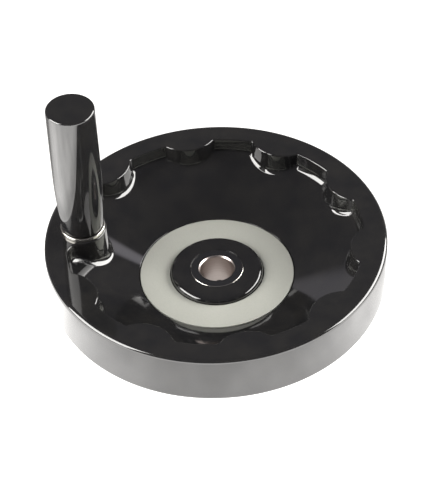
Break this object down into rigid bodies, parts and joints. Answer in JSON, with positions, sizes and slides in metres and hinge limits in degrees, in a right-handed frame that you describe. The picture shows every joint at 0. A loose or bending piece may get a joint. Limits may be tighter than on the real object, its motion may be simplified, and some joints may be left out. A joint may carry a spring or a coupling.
{
  "type": "handwheel",
  "caption": "Dished solid-disc handwheel with a scalloped finger rim, a metal cover ring round the hub and an upright revolving handle.",
  "frame": {"origin": "centre of the shaft bore on the back face of the hub, where the wheel sits on the shaft's shoulder", "axes": "+Z along the shaft bore, out of the dish towards the operator; the handle stands on the -X side, parallel to +Z"},
  "size_m": [0.2, 0.2, 0.1463],
  "materials": {
    "black_phenolic": "polished black phenolic moulding",
    "satin_aluminium": "matt anodised",
    "black_oxide_steel": "black oxide, bore and chamfers machined bright",
    "bright_steel": "turned and polished",
    "spring_steel": "tempered",
    "bush_bronze": "sintered",
    "insert_brass": "turned",
    "adhesive": "film adhesive"
  },
  "bodies": {
    "wheel": {"wheel_body": "black_phenolic", "hub_bushing": "black_oxide_steel", "hub_set_screw": "black_oxide_steel", "plate_adhesive": "adhesive", "cover_plate": "satin_aluminium", "handle_insert": "insert_brass", "handle_spindle": "bright_steel", "wave_washer": "spring_steel", "snap_ring": "spring_steel"},
    "grip": {"handle_grip": "black_phenolic", "lower_bush": "bush_bronze", "upper_bush": "bush_bronze"}
  },
  "joints": [
    {"name": "grip_spin", "type": "hinge", "parent": "wheel", "child": "grip", "pos_m": [-0.0785, 0, 0.059], "axis": [0, 0, 1], "continuous": true}
  ]
}
